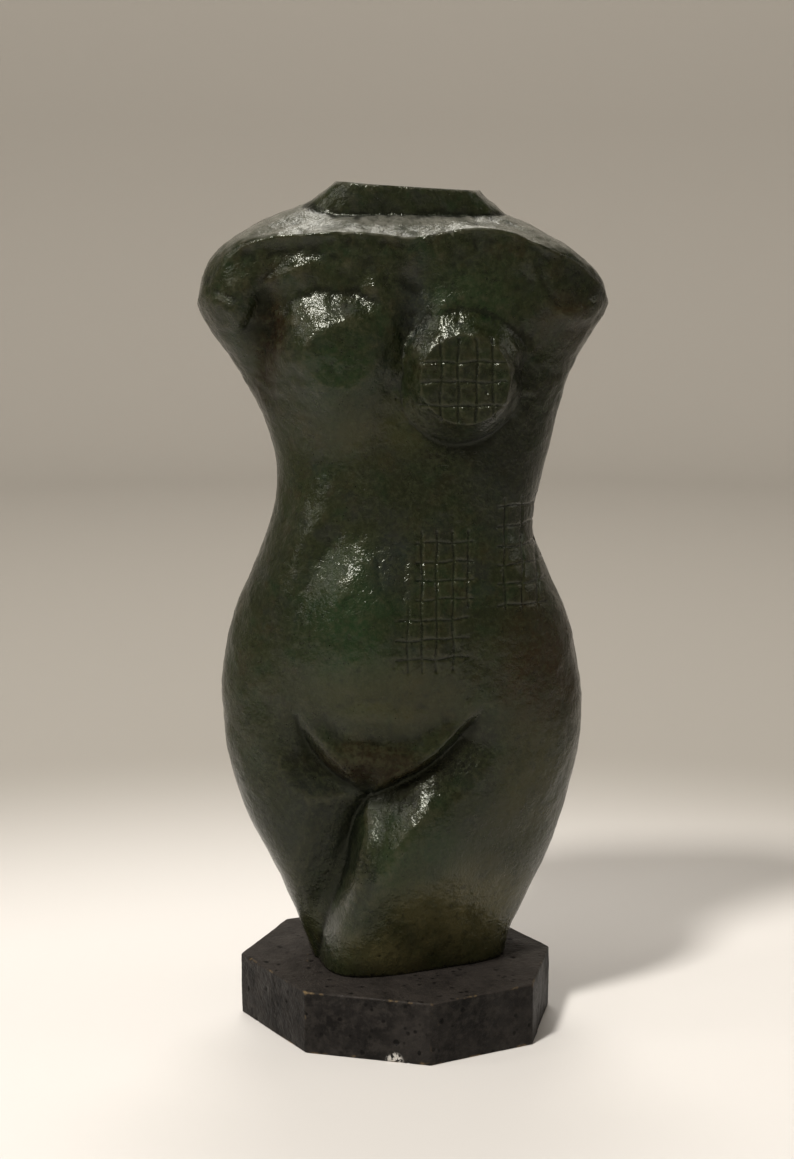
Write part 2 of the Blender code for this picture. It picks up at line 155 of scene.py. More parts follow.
def along(points, x, z, samples=30):
    """Each (x, z) measured from a smooth path through the points: how far it is from the path, on which side
    it lies (for a path going down, -1 is the viewer's left and 1 the viewer's right), and how far along its
    nearest point is, from 0 to 1."""
    points = np.asarray(points, float)
    knots = np.linspace(0, 1, len(points))
    path = np.stack([smooth_through(knots, points[:, k], np.linspace(0, 1, samples + 1)) for k in (0, 1)], 1)
    best, side, place = np.full(x.shape, 1e9), np.zeros(x.shape), np.zeros(x.shape)
    for i, (start, end) in enumerate(zip(path, path[1:])):
        step = end - start
        t = np.clip(((x - start[0]) * step[0] + (z - start[1]) * step[1]) / (step @ step), 0, 1)
        dx, dz = x - start[0] - t * step[0], z - start[1] - t * step[1]
        apart = np.hypot(dx, dz)
        nearer = apart < best
        best = np.where(nearer, apart, best)
        turn = (dz * step[0] - dx * step[1]) / np.hypot(*step) / np.maximum(apart, 1e-6)
        side = np.where(nearer, turn, side)
        place = np.where(nearer, (i + t) / samples, place)
    return best, side, place


def ridge(x, z, points, height, left_width, right_width, fade_in=0.15, fade_out=0.15):
    """A rounded ridge along a path, or a groove where the height is below 0. It fades towards the path's ends
    over the given shares of its length."""
    low, high = np.min(points, axis=0), np.max(points, axis=0)
    reach = max(left_width, right_width) + 2
    near = (x > low[0] - reach) & (x < high[0] + reach) & (z > low[1] - reach) & (z < high[1] + reach)
    apart, side, place = along(points, x[near], z[near])
    width = left_width + (right_width - left_width) * (0.5 + 0.5 * side)
    cross = 1 - smoothstep(0, 1, apart / width)
    starting = smoothstep(0, fade_in, place) if fade_in else 1
    ending = smoothstep(0, fade_out, 1 - place) if fade_out else 1
    proud = np.zeros(x.shape)
    proud[near] = height * cross * starting * ending
    return proud


def eased(low, high, value):
    """0 below low and 1 above high, nearly straight between, with only a slight turn at each end."""
    t = np.clip((value - low) / (high - low), 0, 1)
    return 0.6 * t + 0.4 * t * t * (3 - 2 * t)


def crease(x, z, points, depth, left_width, right_width, left_turn, right_turn, fade_in=0.0, fade_out=0.0):
    """How deep a sharp-bottomed crease is. Each side has its own width, and its own turn where it meets the
    surface: 1 is a clear edge, and more is softer."""
    apart, side, place = along(points, x, z)
    right = 0.5 + 0.5 * side
    width = left_width + (right_width - left_width) * right
    turn = left_turn + (right_turn - left_turn) * right
    cross = np.clip(1 - apart / width, 0, 1) ** turn
    starting = smoothstep(0, fade_in, place) if fade_in else 1
    ending = smoothstep(0, fade_out, 1 - place) if fade_out else 1
    return depth * cross * starting * ending


def breasts(x, z, chest):
    """The chest's depth with both breasts on it. The viewer's left one is low, with a long slope above and a
    blunt face. The other is a disc that stands out, upright and with a clear round edge, on a short slope."""
    upwards = np.where(z > 289, 34, 48)
    away = (np.abs((x + 32) / 32) ** 2.4 + np.abs((z - 289) / upwards) ** 2.4) ** (1 / 2.4)
    flat_share = 0.45 - 0.35 * smoothstep(295, 275, z)
    low = 12 * (1 - eased(flat_share, 1, away)) ** (1 + 0.6 * smoothstep(290, 262, z))
    chest = np.where(low > 0, soft_max(chest - low, -51 + 0.05 * (x + 32), 2), chest)
    from_edge = np.hypot(x - 27.5, z - 284) - 20.2
    above, below = smoothstep(0, 14, z - 284), smoothstep(-8, 20, 284 - z)
    skirt = 7.5 + 3.5 * above + 4 * below - 3 * smoothstep(-14, 18, x - 27.5) * (1 - above)
    face = -51.5 + 0.03 * (z - 284)
    share = np.clip(1 - from_edge / skirt, 0, 1) ** (1.1 - 0.05 * below)
    return chest + (np.minimum(face, chest) - chest) * share


def navel(x, z):
    """A shallow hollow with a flat floor and gentle sides. It widens upwards and fades out above."""
    middle = -6 + 6.5 * smoothstep(196, 168, z)
    half_width = 1 + 8.5 * smoothstep(167, 195, z)
    inside = half_width - np.abs(x - middle)
    return 0.75 * smoothstep(-0.5, 4, inside) * smoothstep(212, 195, z) * smoothstep(163, 175, z)


def thigh(x, z):
    """The nearer thigh, a swelling that crosses the front slantwise. It is thickest two thirds down and falls
    off gently to its outer side and steeply to its inner side."""
    apart, side, place = along([(44, 138), (30, 116), (17, 93), (2, 68), (-13, 40), (-26, 0)], x, z)
    places, thicknesses = [0, 0.12, 0.25, 0.4, 0.58, 0.72, 0.86, 1], [0, 0, 2, 8, 16, 18, 14.5, 9]
    thickness = smooth_through(places, thicknesses, place)
    width = 25 + 33 * (0.5 + 0.5 * side)
    return thickness * (1 - smoothstep(0, 1, apart / width))


def folds(x, z):
    """The depth of the three creases that meet below the belly. The belly and the swelling below it end in a
    clear edge over the groin's creases, and the thighs rise softly out of them."""
    right_path = [(42, 140), (32, 123), (22, 112), (11, 103), (-2, 95), (-16, 88)]
    left_path = [(-50, 142), (-50, 124), (-43, 109), (-32, 98), (-16, 88)]
    right = crease(x, z, right_path, 9, 5, 21, 0.95, 1.15, fade_in=0.35)
    left = crease(x, z, left_path, 8, 18, 9, 1.0, 1.3, fade_in=0.5)
    between = crease(x, z, [(-16, 88), (-24, 74), (-29, 50), (-36, 26), (-42, 0)], 9.5, 23, 9, 1.15, 1.7)
    return soft_max(soft_max(right, left, 1.5), between, 1.5)


def front_forms(x, z):
    """How far the front stands proud of its plain sections."""
    # Belly, its lower fold, a small ledge under that and the swelling below it
    proud = dome(x, z, (-14, 164), (54, 51), 9.5, fall=2)
    proud += dome(x, z, (-10, 112), (36, 26), 5, fall=1.3)
    lower_fold = [(-47, 136), (-38, 124), (-20, 118), (0, 118), (18, 124), (36, 138)]
    proud += ridge(x, z, lower_fold, -2, 11, 11, 0.3, 0.3)
    proud += ridge(x, z, [(-28, 112), (-16, 113.5), (-4, 112)], 0.45, 2.5, 2.5, 0.3, 0.3)
    proud -= navel(x, z)
    # Breastbone: a blunt ridge from the low breast to a hollow, and a soft line down to the navel
    proud += ridge(x, z, [(-16, 334), (-12, 322), (-6, 310), (-3, 298)], 2.2, 9, 7, 0.35, 0.4)
    proud += ridge(x, z, [(4, 340), (5, 324), (4, 308), (3, 292)], -4.5, 11, 14, 0.4, 0.45)
    proud += ridge(x, z, [(-3, 292), (0, 268), (-2, 240), (-5, 214)], -1.3, 18, 17, 0.35, 0.4)
    # The nearer thigh, the creases, and a thin ridge inside the thigh
    proud += thigh(x, z) - folds(x, z)
    proud += ridge(x, z, [(-11, 88), (-17, 72), (-22, 52), (-31, 28)], 3, 6, 8, 0.3, 0.3)
    # Two steps from the belly down to the hip, and the hip's own soft edge on the other side
    proud += ridge(x, z, [(-36, 242), (-43, 220), (-55, 194), (-68, 162)], 3.4, 13, 13, 0.5, 0.4)
    proud += ridge(x, z, [(-29, 220), (-38, 198), (-50, 172)], -1, 8, 8, 0.45, 0.4)
    proud += ridge(x, z, [(-14, 212), (-25, 195), (-40, 176)], 1, 8, 9, 0.45, 0.35)
    proud += ridge(x, z, [(38, 216), (52, 196), (62, 172)], 2, 14, 14, 0.35, 0.35)
    # Full chest above the standing disc
    proud += dome(x, z, (28, 304), (32, 30), 3.2)
    # Fold of the chest muscle that runs to the arm, with a shallow hollow above it
    proud += ridge(x, z, [(-66, 322), (-58, 329), (-47, 334), (-30, 338)], 2, 12, 4, 0.3, 0.4)
    proud += ridge(x, z, [(-66, 338), (-48, 342), (-24, 343)], -1.6, 7, 7, 0.3, 0.5)
    # Front of each arm's stump, the hollow that parts it from the chest, and its lower edge
    proud += dome(x, z, (-82, 324), (19, 26), 4.2, fall=2)
    proud += ridge(x, z, [(-56, 336), (-62, 322), (-66, 304), (-68, 288), (-70, 262)], -5, 11, 16, 0.35, 0.5)
    proud += ridge(x, z, [(56, 340), (58, 316), (60, 290), (62, 262)], -2.5, 14, 18, 0.3, 0.5)
    proud += ridge(x, z, [(-97, 317), (-86, 317), (-78, 312), (-72, 304)], 2.6, 8, 7, 0.1, 0.4)
    proud += ridge(x, z, [(97, 316), (80, 313), (64, 311)], 1.6, 7, 8, 0.1, 0.4)
    proud += ridge(x, z, [(60, 342), (63, 328), (69, 318), (80, 312)], -0.8, 3.5, 6, 0.3, 0.4)
    return proud


def back_forms(x, z):
    """How far the back stands proud of its plain sections."""
    proud = dome(x, z, (-37, 118), (44, 46), 11) + dome(x, z, (38, 112), (43, 45), 10)
    proud += dome(x, z, (-40, 300), (34, 40), 4) + dome(x, z, (40, 300), (34, 40), 4)
    proud += ridge(x, z, [(0, 345), (1, 300), (-1, 250), (0, 200), (1, 165)], -4.5, 13, 13, 0.2, 0.3)
    proud += ridge(x, z, [(1, 160), (1, 130), (0, 100), (-2, 60), (-6, 0)], -8, 10, 10, 0.2, 0.4)
    proud += ridge(x, z, [(70, 84), (45, 76), (20, 78), (2, 88)], -3, 9, 9)
    proud += ridge(x, z, [(-2, 90), (-22, 82), (-48, 82), (-72, 92)], -3, 9, 9)
    return proud


def section_points(around, edges):
    """(x, y) round a section at each angle: 0 is the front, a quarter turn the viewer's right."""
    left, right, front, back, squareness, turn = edges
    across, ahead = np.sin(around), np.cos(around)
    reach = (np.abs(across) ** squareness + np.abs(ahead) ** squareness) ** (-1 / squareness)
    x = (left + right) / 2 + (right - left) / 2 * reach * across
    y = np.where(ahead > 0, -front, back) * reach * -ahead
    turned = np.radians(turn)
    return x * np.cos(turned) - y * np.sin(turned), x * np.sin(turned) + y * np.cos(turned)


def wall_points(around, z):
    """Points of the torso's wall at each angle and height, with its forms."""
    heights = [row[0] for row in SECTIONS]
    edges = [smooth_through(heights, [row[k] for row in SECTIONS], z) for k in range(1, 7)]
    x, y = section_points(around, edges)
    facing = smoothstep(0.02, 0.42, np.cos(around))
    front = -y + front_forms(x, z)
    with_breasts = -breasts(x, z, -front)
    y = y * (1 - facing) - with_breasts * facing
    y += back_forms(x, z) * smoothstep(0.05, 0.5, -np.cos(around))
    return x, y


def rim_height(around):
    """The edge where the wall turns over into the tops of the shoulders."""
    out, front = np.sin(around), np.cos(around) > 0
    right = smooth_through(*zip(*RIM_DROP_RIGHT), np.abs(out))
    left = smooth_through(*zip(*RIM_DROP_LEFT), np.abs(out))
    drop = np.where((out < 0) & front, left, right)
    to_side = smoothstep(0.5, 1, np.abs(out))
    middle = (RIM_HEIGHT_FRONT + RIM_HEIGHT_BACK) / 2
    level = np.where(front, RIM_HEIGHT_FRONT, RIM_HEIGHT_BACK)
    level = level + (middle - level) * to_side - drop
    for x, down, reach in RIM_WAVES:
        level = level - front * down * np.exp(-(((90 * out - x) / reach) ** 2))
    return level


def ring(around, shape):
    """A level ring of the neck."""
    edges = [shape["left"], shape["right"], shape["front"], shape["back"], shape["squareness"], 0]
    return section_points(around, edges)


def torso_points(around, row):
    """One point for each angle on a row. Rows 0 to 1 climb the wall, 1 to 2 cross the tops of the shoulders
    and 2 to 3 climb the neck."""
    rim = rim_height(around)
    if row <= 1:
        level = row * RIM_HEIGHT_FRONT
        z = level + (rim - RIM_HEIGHT_FRONT) * smoothstep(0.55, 1, row)
        return *wall_points(around, z), z
    foot_x, foot_y = ring(around, NECK_FOOT)
    foot_z = NECK_FOOT["height"] + NECK_FOOT_LEFT_RISE * smoothstep(0.5, 1, -np.sin(around))
    if row <= 2:
        t = (row - 1) ** 1.6
        x, y = wall_points(around, rim)
        climb = np.where(np.sin(around) < 0, SHOULDER_CLIMB_LEFT, SHOULDER_CLIMB_RIGHT)
        climb = 1 + (climb - 1) * smoothstep(0.35, 0.95, np.abs(np.sin(around)))
        z = rim + (foot_z - rim) * t**climb
        return x + (foot_x - x) * t, y + (foot_y - y) * t, z
    top_x, top_y = ring(around, NECK_TOP)
    top_z = NECK_TOP["height"] - NECK_TOP_SLANT * top_x
    t = row - 2
    return foot_x + (top_x - foot_x) * t, foot_y + (top_y - foot_y) * t, foot_z + (top_z - foot_z) * t


def scored_lines(x, z):
    """How deep the scored lines are cut at each (x, z). Each is a groove with sloping sides that wavers."""
    depth = np.zeros(x.shape)
    waver = SCORED_WOBBLE * np.sin(x * 0.23 + z * 0.31) + SCORED_WOBBLE * np.sin(z * 0.17 - x * 0.41)
    for patch in SCORED_PATCHES:
        (left, right), (low, high) = patch["across"], patch["up"]
        across = smoothstep(left - 0.8, left + 0.8, x) * smoothstep(right + 0.8, right - 0.8, x)
        up = smoothstep(low - 0.8, low + 0.8, z) * smoothstep(high + 0.8, high - 0.8, z)
        for place in patch["upright"]:
            groove = np.clip(1 - np.abs(x + waver - place) / SCORED_HALF_WIDTH, 0, 1)
            depth = np.maximum(depth, SCORED_DEPTH * groove * across * up)
        for place in patch["level"]:
            groove = np.clip(1 - np.abs(z + waver - place) / SCORED_HALF_WIDTH, 0, 1)
            depth = np.maximum(depth, SCORED_DEPTH * groove * across * up)
    return depth


def value_noise(points, size, seed):
    """Smooth random values from -1 to 1, whose patches are about the given size across."""
    table = np.random.default_rng(seed).uniform(-1, 1, (32, 32, 32))
    place = points / size
    low = np.floor(place).astype(int)
    part = place - low
    part = part * part * (3 - 2 * part)
    total = np.zeros(points.shape[:-1])
    for corner in np.ndindex(2, 2, 2):
        index = (low + corner) % 32
        share = np.prod(np.where(np.array(corner) == 1, part, 1 - part), axis=-1)
        total += share * table[index[..., 0], index[..., 1], index[..., 2]]
    return total


def graded(count, closeness, low, high, ends):
    """Places from low to high, spaced more closely where closeness(place) is larger."""
    fine = np.linspace(low, high, 4000)
    travelled = np.concatenate([[0], np.cumsum(closeness(fine))[:-1]])
    return np.interp(np.linspace(0, travelled[-1], count, endpoint=ends), travelled, fine)


def hump(place, low, high, soft):
    """1 between low and high and 0 outside them, with soft sides."""
    return smoothstep(low - soft, low, place) * smoothstep(high + soft, high, place)


# How finely the finished torso is worked out, and how many triangles are kept of it
COLUMNS = 560
WALL_ROWS = 430
CAP_ROWS = 30
NECK_ROWS = 14
TORSO_TRIANGLES = 190000


def column_angles():
    """Angles round the torso, close together on the front and closest at the scored patches."""
    def closeness(angle):
        return 0.7 + 0.8 * (np.cos(angle) > -0.1) + 1.6 * hump(angle, -0.1, 1.35, 0.1)

    return graded(COLUMNS, closeness, -math.pi, math.pi, ends=False)


def row_steps():
    """Rows up the torso, closest together at the scored patches."""
    def closeness(row):
        z = row * RIM_HEIGHT_FRONT
        return 1 + 1.2 * hump(z, 148, 228, 4) + 1.2 * hump(z, 262, 304, 4)

    wall = graded(WALL_ROWS + 1, closeness, 0, 1, ends=True)
    cap = np.linspace(1, 2, CAP_ROWS + 1)[1:]
    neck = np.linspace(2, 3, NECK_ROWS + 1)[1:]
    return np.concatenate([wall, cap, neck])


def outward(grid):
    """The direction square to the surface at each of a grid's points."""
    onwards = np.roll(grid, -1, axis=1) - np.roll(grid, 1, axis=1)
    square = np.cross(onwards, np.gradient(grid, axis=0))
    return square / np.maximum(np.linalg.norm(square, axis=2, keepdims=True), 1e-9)


# The marks of hands in the wax, each layer as (how far proud, size, seed): all over, and where it is rougher
SOFT_MARKS = ((0.55, 26, 3), (0.34, 11, 4), (0.10, 4.2, 8))
ROUGH_MARKS = ((0.55, 8, 5), (0.30, 3.6, 6))
# The rolled lip along the shoulders' front edge: height, how much that varies, and reach as a share of a row
LIP_HEIGHT = 0.9
LIP_UNEVENNESS = 0.8
LIP_REACH = 0.007


def marks(grid, layers):
    """The sum of the layers of marks."""
    return sum(proud * value_noise(grid, size, seed) for proud, size, seed in layers)


def hand_marks(grid, rows):
    """How far the surface stands proud where the wax was pushed about by hand: broad and soft over the body,
    closer and rougher on the chest, with a rolled lip along the front edge of the shoulders."""
    z = grid[:, :, 2]
    rough = smoothstep(240, 290, z) + 0.45 * hump(z, 90, 225, 20)
    proud = marks(grid, SOFT_MARKS) + rough * marks(grid, ROUGH_MARKS)
    lip = np.exp(-(((rows[:, None] - 1) / LIP_REACH) ** 2)) * (grid[:, :, 1] < 0)
    return proud + lip * (LIP_HEIGHT + LIP_UNEVENNESS * value_noise(grid, 9, 7))


def torso_grid():
    """The torso's points in its own unit, a row of them for each step up it."""
    around, rows = column_angles(), row_steps()
    grid = np.stack([np.stack(torso_points(around, row), 1) for row in rows])
    square = outward(grid)
    grid = grid + square * hand_marks(grid, rows)[:, :, None]
    depth = scored_lines(grid[:, :, 0], grid[:, :, 2]) * (np.cos(around) > 0)
    grid = grid - square * depth[:, :, None]
    grid[0, :, 2] = 0
    return grid


def lofted(name, grid):
    """A closed mesh through the grid's points, in metres, with a flat cap at each end."""
    rows, columns = grid.shape[:2]
    low = np.arange((rows - 1) * columns).reshape(rows - 1, columns)
    after = np.roll(low, -1, axis=1)
    faces = np.stack([low, after, after + columns, low + columns], 2).reshape(-1, 4).tolist()
    caps = [list(range(columns))[::-1], list(range((rows - 1) * columns, rows * columns))]
    mesh = bpy.data.meshes.new(name)
    mesh.from_pydata(grid.reshape(-1, 3).tolist(), [], faces + caps)
    piece = bpy.data.objects.new(name, mesh)
    bpy.context.scene.collection.objects.link(piece)
    return piece


# The skin that casting leaves: grain and pits, as a tree that any piece can wear

def cast_skin_tree():
    tree = bpy.data.node_groups.new("cast skin", "GeometryNodeTree")
    tree.interface.new_socket("Geometry", in_out="INPUT", socket_type="NodeSocketGeometry")
    tree.interface.new_socket("Geometry", in_out="OUTPUT", socket_type="NodeSocketGeometry")
    for name in ("Grain Size", "Grain Height", "Pit Spacing", "Pit Radius", "Pit Depth", "Pit Share", "Seed"):
        tree.interface.new_socket(name, in_out="INPUT", socket_type="NodeSocketFloat")
    tree.interface.new_socket("Finish", in_out="INPUT", socket_type="NodeSocketMaterial")

    def add(kind, **settings):
        node = tree.nodes.new(kind)
        for key, value in settings.items():
            setattr(node, key, value)
        return node

    def put(value, socket):
        if isinstance(value, bpy.types.NodeSocket):
            tree.links.new(value, socket)
        else:
            socket.default_value = value

    def maths(operation, *values):
        node = add("ShaderNodeMath", operation=operation)
        for value, socket in zip(values, node.inputs):
            put(value, socket)
        return node.outputs[0]

    def scaled(vector, factor):
        node = add("ShaderNodeVectorMath", operation="SCALE")
        put(vector, node.inputs[0])
        put(factor, node.inputs["Scale"])
        return node.outputs[0]

    given = add("NodeGroupInput").outputs
    place = add("ShaderNodeVectorMath", operation="ADD")
    put(add("GeometryNodeInputPosition").outputs[0], place.inputs[0])
    put(given["Seed"], place.inputs[1])
    grain = add("ShaderNodeTexNoise")
    put(place.outputs[0], grain.inputs["Vector"])
    put(maths("DIVIDE", 1.0, given["Grain Size"]), grain.inputs["Scale"])
    grain.inputs["Detail"].default_value = 3
    rise = maths("MULTIPLY", maths("SUBTRACT", grain.outputs[0], 0.5), given["Grain Height"])
    cells = add("ShaderNodeTexVoronoi", feature="F1")
    put(place.outputs[0], cells.inputs["Vector"])
    put(maths("DIVIDE", 1.0, given["Pit Spacing"]), cells.inputs["Scale"])
    parts = add("FunctionNodeSeparateColor")
    put(cells.outputs["Color"], parts.inputs[0])
    radius = maths("MULTIPLY", given["Pit Radius"], maths("ADD", 0.45, parts.outputs[1]))
    apart = maths("DIVIDE", maths("MULTIPLY", cells.outputs["Distance"], given["Pit Spacing"]), radius)
    bowl = maths("MAXIMUM", 0.0, maths("SUBTRACT", 1.0, maths("MULTIPLY", apart, apart)))
    there = maths("LESS_THAN", parts.outputs[0], given["Pit Share"])
    pit = maths("MULTIPLY", maths("MULTIPLY", bowl, there), given["Pit Depth"])
    moved = add("GeometryNodeSetPosition")
    put(given["Geometry"], moved.inputs["Geometry"])
    outwards = add("GeometryNodeInputNormal").outputs[0]
    put(scaled(outwards, maths("SUBTRACT", rise, pit)), moved.inputs["Offset"])
    smooth = add("GeometryNodeSetShadeSmooth")
    put(moved.outputs[0], smooth.inputs["Geometry"])
    real = add("GeometryNodeRealizeInstances")
    put(smooth.outputs[0], real.inputs[0])
    finish = add("GeometryNodeSetMaterial")
    put(real.outputs[0], finish.inputs["Geometry"])
    put(given["Finish"], finish.inputs["Material"])
    put(finish.outputs[0], add("NodeGroupOutput").inputs[0])
    return tree


def wear_skin(piece, tree, sizes, finish, triangles):
    """Gives a piece its cast skin, keeps the given number of triangles and leaves it a plain mesh."""
    skin = piece.modifiers.new("cast skin", "NODES")
    skin.node_group = tree
    named = {item.name: item.identifier for item in tree.interface.items_tree if item.in_out == "INPUT"}
    for name, value in sizes.items():
        skin[named[name]] = float(value)
    skin[named["Finish"]] = finish
    sides = sum(len(face.vertices) - 2 for face in piece.data.polygons)
    if sides > triangles:
        thinned = piece.modifiers.new("fewer triangles", "DECIMATE")
        thinned.ratio = triangles / sides
    seen = piece.evaluated_get(bpy.context.evaluated_depsgraph_get())
    mesh = bpy.data.meshes.new_from_object(seen)
    piece.modifiers.clear()
    piece.data = mesh
    mesh.shade_smooth()


def mark_hollows(mesh, names_and_passes):
    """Writes how far each point lies below the average of its surroundings, in millimetres, as one attribute
    for each number of smoothing passes. It is above 0 in hollows and below 0 on crests."""
    count = len(mesh.vertices)
    points, normals = np.empty(count * 3), np.empty(count * 3)
    mesh.vertices.foreach_get("co", points)
    mesh.vertices.foreach_get("normal", normals)
    points, normals = points.reshape(-1, 3), normals.reshape(-1, 3)
    edges = np.empty(len(mesh.edges) * 2, int)
    mesh.edges.foreach_get("vertices", edges)
    first, second = edges.reshape(-1, 2).T
    both, other = np.concatenate([first, second]), np.concatenate([second, first])
    neighbours = np.bincount(both, minlength=count)[:, None]
    smooth, done = points, 0
    for name, passes in names_and_passes:
        while done < passes:
            total = np.stack([np.bincount(both, smooth[other, k], count) for k in range(3)], 1)
            smooth = 0.4 * smooth + 0.6 * total / neighbours
            done += 1
        depth = np.einsum("ij,ij->i", smooth - points, normals) * 1000
        mesh.attributes.new(name, "FLOAT", "POINT").data.foreach_set("value", depth.astype(np.float32))


# Where the torso's patina turns another colour, and where shade and light are painted on it: (x, z) across
# and up the front, reach across and up, strength
TINTS = {
    "green": ((-24, 168, 22, 34, 1.0), (8, 58, 24, 24, 0.9), (-30, 288, 18, 18, 0.7),
              (30, 320, 26, 16, 0.5)),
    "brown": ((72, 150, 26, 34, 0.9), (-14, 104, 18, 10, 1.0), (-64, 305, 7, 28, 1.0),
              (78, 305, 16, 12, 0.7)),
    "olive": ((36, 36, 34, 26, 1.0), (66, 90, 22, 34, 0.8), (-20, 262, 26, 14, 0.4), (-60, 30, 16, 30, 0.6),
              (-10, 138, 34, 14, 0.6)),
    "slate": ((-45, 70, 20, 26, 0.6), (5, 318, 10, 20, 0.8), (-4, 200, 8, 18, 0.7), (50, 240, 18, 30, 0.6)),
    # The dark patches are painted shade: along the groin's creases and the leg crease, in the armpit, beside
    # the standing disc and in the shadow under it
    "painted_crease_shade": ((-45, 112, 7, 11, 0.8), (-39, 102, 9, 9, 0.9), (-29, 94, 9, 8, 0.9), (-16, 90, 9, 8, 0.9),
             (34, 117, 9, 8, 0.9), (24, 106, 9, 8, 1.0), (13, 97, 9, 8, 1.0), (1, 89, 8, 7, 1.0),
             (-21, 62, 5, 30, 0.7), (-66, 305, 5, 26, 0.8), (60, 268, 12, 34, 0.5), (24, 251, 24, 4, 0.5)),
    # The deep patches are partly painted shade, on the far leg and the right flank that turn away from the
    # light, and elsewhere darken the patina, as at the mons, the belly and the standing disc
    "deep": ((-52, 86, 34, 52, 0.9), (66, 108, 26, 44, 0.6), (-12, 104, 22, 12, 1.0), (0, 126, 40, 6, 0.5),
             (16, 236, 40, 24, 0.6), (78, 326, 14, 16, 0.4), (30, 283, 24, 22, 0.6), (4, 146, 44, 22, 0.4),
             (30, 86, 20, 24, 0.3)),
    # The pale patches are painted light: the pale floor's reflection on the downward-facing lower front and
    # the foot
    "pale": ((30, 30, 32, 24, 1.0), (-6, 12, 22, 12, 0.9)),
    "rust": ((-12, 106, 24, 12, 1.0), (-66, 300, 8, 30, 0.7)),
}
# How far the patches' edges stray
TINT_WANDER = 7


def mark_tints(mesh):
    """Writes the tints' masks on the torso's front. The back has them mirrored and weaker."""
    count = len(mesh.vertices)
    points = np.empty(count * 3)
    mesh.vertices.foreach_get("co", points)
    points = points.reshape(-1, 3) / UNIT
    points[:, 2] -= TORSO_LOW.z / UNIT
    back = smoothstep(-10, 20, points[:, 1])
    across = points[:, 0] * (1 - 2 * (back > 0.5))
    wander = TINT_WANDER * np.stack([value_noise(points, 18, seed) for seed in (11, 12)], 1)
    across, up = across + wander[:, 0], points[:, 2] + wander[:, 1]
    for name, spots in TINTS.items():
        mask = np.zeros(count)
        for x, z, reach_x, reach_z, strength in spots:
            apart = np.hypot((across - x) / reach_x, (up - z) / reach_z)
            mask = np.maximum(mask, strength * smoothstep(1.6, 0.2, apart))
        mask *= 1 - 0.5 * back
        mesh.attributes.new(name, "FLOAT", "POINT").data.foreach_set("value", mask.astype(np.float32))
    # The upward-facing tops of the shoulders are marked too, for the painted sheen laid on them
    normals = np.empty(count * 3)
    mesh.vertices.foreach_get("normal", normals)
    painted_top_sheen = smoothstep(0.55, 0.95, normals.reshape(-1, 3)[:, 2]) * smoothstep(310, 330, points[:, 2])
    mesh.attributes.new("painted_top_sheen", "FLOAT", "POINT").data.foreach_set("value", painted_top_sheen.astype(np.float32))


# Materials

class Shader:
    """A Principled material whose nodes are added by short calls."""

    def __init__(self, name):
        self.material = bpy.data.materials.new(name)
        self.material.use_nodes = True
        self.tree = self.material.node_tree
        self.surface = self.tree.nodes["Principled BSDF"]
        self.place = self.tree.nodes.new("ShaderNodeTexCoord").outputs["Object"]

    def put(self, value, socket):
        if isinstance(value, bpy.types.NodeSocket):
            self.tree.links.new(value, socket)
        else:
            socket.default_value = value

    def noise(self, size, detail, roughness):
        node = self.tree.nodes.new("ShaderNodeTexNoise")
        self.put(self.place, node.inputs["Vector"])
        self.put(1 / size, node.inputs["Scale"])
        self.put(detail, node.inputs["Detail"])
        self.put(roughness, node.inputs["Roughness"])
        return node.outputs[0]

    def cells(self, size):
        node = self.tree.nodes.new("ShaderNodeTexVoronoi")
        self.put(self.place, node.inputs["Vector"])
        self.put(1 / size, node.inputs["Scale"])
        return node.outputs["Distance"]

    def distance(self, middle):
        """How far each point is from the given one."""
        node = self.tree.nodes.new("ShaderNodeVectorMath")
        node.operation = "DISTANCE"
        self.put(self.place, node.inputs[0])
        self.put(middle, node.inputs[1])
        return node.outputs["Value"]

    def ramp(self, value, low, high, out_low=0.0, out_high=1.0):
        node = self.tree.nodes.new("ShaderNodeMapRange")
        node.interpolation_type = "SMOOTHSTEP"
        for given, socket in zip((value, low, high, out_low, out_high), node.inputs):
            self.put(given, socket)
        return node.outputs[0]

    def maths(self, operation, *values):
        node = self.tree.nodes.new("ShaderNodeMath")
        node.operation = operation
        for value, socket in zip(values, node.inputs):
            self.put(value, socket)
        return node.outputs[0]

    def attribute(self, name):
        node = self.tree.nodes.new("ShaderNodeAttribute")
        node.attribute_name = name
        return node.outputs["Fac"]

    def mix(self, share, first, second):
        node = self.tree.nodes.new("ShaderNodeMix")
        node.data_type = "RGBA"
        self.put(share, node.inputs["Factor"])
        sockets = [s for s in node.inputs if s.type == "RGBA"]
        for colour, socket in zip((first, second), sockets):
            self.put((*colour, 1) if isinstance(colour, tuple) else colour, socket)
        return next(s for s in node.outputs if s.type == "RGBA")

    def bump(self, layers):
        """Stacks (height, distance in metres) layers, the first one lowest."""
        normal = None
        for height, distance in layers:
            node = self.tree.nodes.new("ShaderNodeBump")
            node.inputs["Distance"].default_value = distance
            self.put(height, node.inputs["Height"])
            if normal is not None:
                self.put(normal, node.inputs["Normal"])
            normal = node.outputs[0]
        self.put(normal, self.surface.inputs["Normal"])
        self.put(normal, self.surface.inputs["Coat Normal"])


# The torso's colours, dark because the patina is: its clouds, then small spots of others as (size, colour)
PATINA_DARK = (0.0068, 0.0092, 0.0030)
PATINA_LIGHT = (0.0126, 0.0152, 0.0054)
PATINA_SPOTS = (
    (0.0130, (0.0050, 0.0150, 0.0052)),
    (0.0105, (0.0180, 0.0140, 0.0056)),
    (0.0160, (0.0105, 0.0120, 0.0115)),
)
